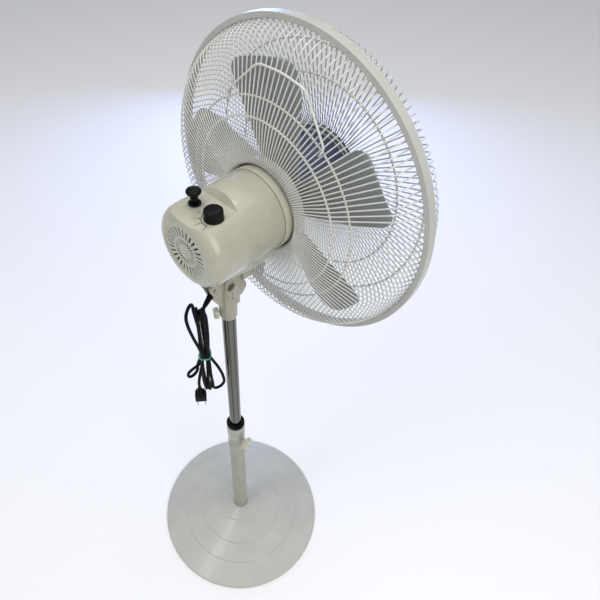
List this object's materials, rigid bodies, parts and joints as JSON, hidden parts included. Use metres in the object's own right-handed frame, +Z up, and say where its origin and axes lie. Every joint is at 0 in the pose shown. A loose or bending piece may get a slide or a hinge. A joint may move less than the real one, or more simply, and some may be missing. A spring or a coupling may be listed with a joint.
{
  "type": "pedestal fan",
  "caption": "Oscillating pedestal fan with a round domed base, telescopic pole, tilting neck, enclosed motor head and a wire guard around the blades.",
  "frame": {"origin": "on the floor under the middle of the pole", "axes": "+Z up along the pole, the fan blows towards -Y, +X to the right seen from the front"},
  "size_m": [0.4335, 0.37, 1.1108],
  "materials": {
    "cream_shell": "glossy moulded cream plastic",
    "cream_neck": "satin moulded cream plastic",
    "cream_steel": "glossy cream powder coat on steel",
    "guard_wire": "glossy cream coated wire",
    "ivory_knob": "ivory moulded plastic",
    "black_plastic": "glossy black moulded plastic",
    "chrome_tube": "polished chrome plate",
    "bare_steel": "machined steel",
    "dark_steel": "blackened steel",
    "lamination": "stacked electrical steel",
    "copper": "enamelled copper wire",
    "bronze": "sintered bronze",
    "gear_plastic": "natural nylon",
    "case_plastic": "grey moulded plastic",
    "ballast": "cast iron",
    "plate": "black painted sheet",
    "rubber_foot": "black rubber",
    "blade_plastic": "smoke grey translucent plastic",
    "badge_face": "blue grey printed disc",
    "marks": "black print",
    "cord_rubber": "black PVC",
    "green_tie": "green coated tie"
  },
  "bodies": {
    "base": {"base_cover": "cream_shell", "base_weight": "ballast", "base_plate": "plate", "base_feet": "rubber_foot", "pole_flange": "bare_steel", "flange_bolts": "bare_steel", "lower_tube": "cream_steel", "height_collar": "cream_shell", "collar_bush": "black_plastic"},
    "height_clamp": {"height_clamp_knob": "ivory_knob", "height_clamp_stud": "bare_steel"},
    "mast": {"upper_tube": "chrome_tube", "tube_glide": "black_plastic"},
    "neck": {"neck_bracket": "cream_neck", "tilt_bolt": "dark_steel", "tilt_nut": "dark_steel", "cord_gland": "cord_rubber", "cord_lead": "cord_rubber", "cord_hank": "cord_rubber", "cord_tie": "green_tie", "plug_body": "cord_rubber", "plug_pins": "bare_steel"},
    "neck_clamp": {"neck_clamp_knob": "ivory_knob", "neck_clamp_stud": "bare_steel"},
    "tilt": {"tilt_head": "cream_neck", "swing_pin": "bare_steel", "thrust_washer": "bare_steel"},
    "motor_head": {"motor_housing": "cream_shell", "front_ring": "cream_shell", "bottom_tray": "cream_shell", "motor_stator": "lamination", "motor_windings": "copper", "front_shield": "bare_steel", "rear_shield": "bare_steel", "motor_bearings": "bronze", "gearbox_case": "case_plastic", "speed_switch": "case_plastic", "knob_ferrule": "black_plastic", "dial_marks": "marks", "capacitor": "case_plastic", "rear_guard_hub": "guard_wire", "rear_guard_wires": "guard_wire", "rear_guard_rings": "guard_wire", "carry_handle": "guard_wire", "guard_nut": "black_plastic", "guard_band": "cream_steel", "band_clip": "cream_shell", "front_guard_wires": "guard_wire", "front_guard_rings": "guard_wire", "front_badge": "badge_face"},
    "fan_rotor": {"fan_blade": "blade_plastic", "blade_nut": "black_plastic", "motor_rotor": "lamination", "motor_shaft": "bare_steel"},
    "gear_wheel": {"worm_wheel": "gear_plastic"},
    "speed_dial": {"speed_knob": "black_plastic"},
    "swing_button": {"swing_knob": "black_plastic"}
  },
  "joints": [
    {"name": "height_slide", "type": "slide", "parent": "base", "child": "mast", "axis": [0, 0, 1], "range_m": [-0.28, 0.012]},
    {"name": "height_clamp_turn", "type": "hinge", "parent": "base", "child": "height_clamp", "pos_m": [-0.03, 0, 0.377], "axis": [1, 0, 0], "range_deg": [-30, 330]},
    {"name": "neck_swivel", "type": "hinge", "parent": "mast", "child": "neck", "pos_m": [0, 0, 0.745], "axis": [0, 0, 1], "range_deg": [-120, 40]},
    {"name": "neck_clamp_turn", "type": "hinge", "parent": "neck", "child": "neck_clamp", "pos_m": [0.00945, 0.01573, 0.741], "axis": [0.515, 0.8572, 0], "range_deg": [0, 300]},
    {"name": "head_tilt", "type": "hinge", "parent": "neck", "child": "tilt", "pos_m": [0, 0.0064, 0.807], "axis": [-1, 0, 0], "range_deg": [-12, 15]},
    {"name": "head_swing", "type": "hinge", "parent": "tilt", "child": "motor_head", "pos_m": [0, 0.0064, 0.828], "axis": [0, 0, 1], "range_deg": [-40, 40]},
    {"name": "fan_spin", "type": "hinge", "parent": "motor_head", "child": "fan_rotor", "pos_m": [0, 0, 0.894], "axis": [0, 1, 0], "continuous": true},
    {"name": "gear_wheel_spin", "type": "hinge", "parent": "motor_head", "child": "gear_wheel", "pos_m": [0.0155, 0.028, 0.894], "axis": [0, 0, 1], "continuous": true},
    {"name": "speed_dial_turn", "type": "hinge", "parent": "motor_head", "child": "speed_dial", "pos_m": [-0.022, 0.031, 0.939], "axis": [0, 0, -1], "range_deg": [0, 135]},
    {"name": "swing_button_pull", "type": "slide", "parent": "motor_head", "child": "swing_button", "axis": [0, 0, 1], "range_m": [-0.008, 0]}
  ],
  "couplings": [
    {"joint": "gear_wheel_spin", "follows": "fan_spin", "ratio": 0.0333}
  ]
}
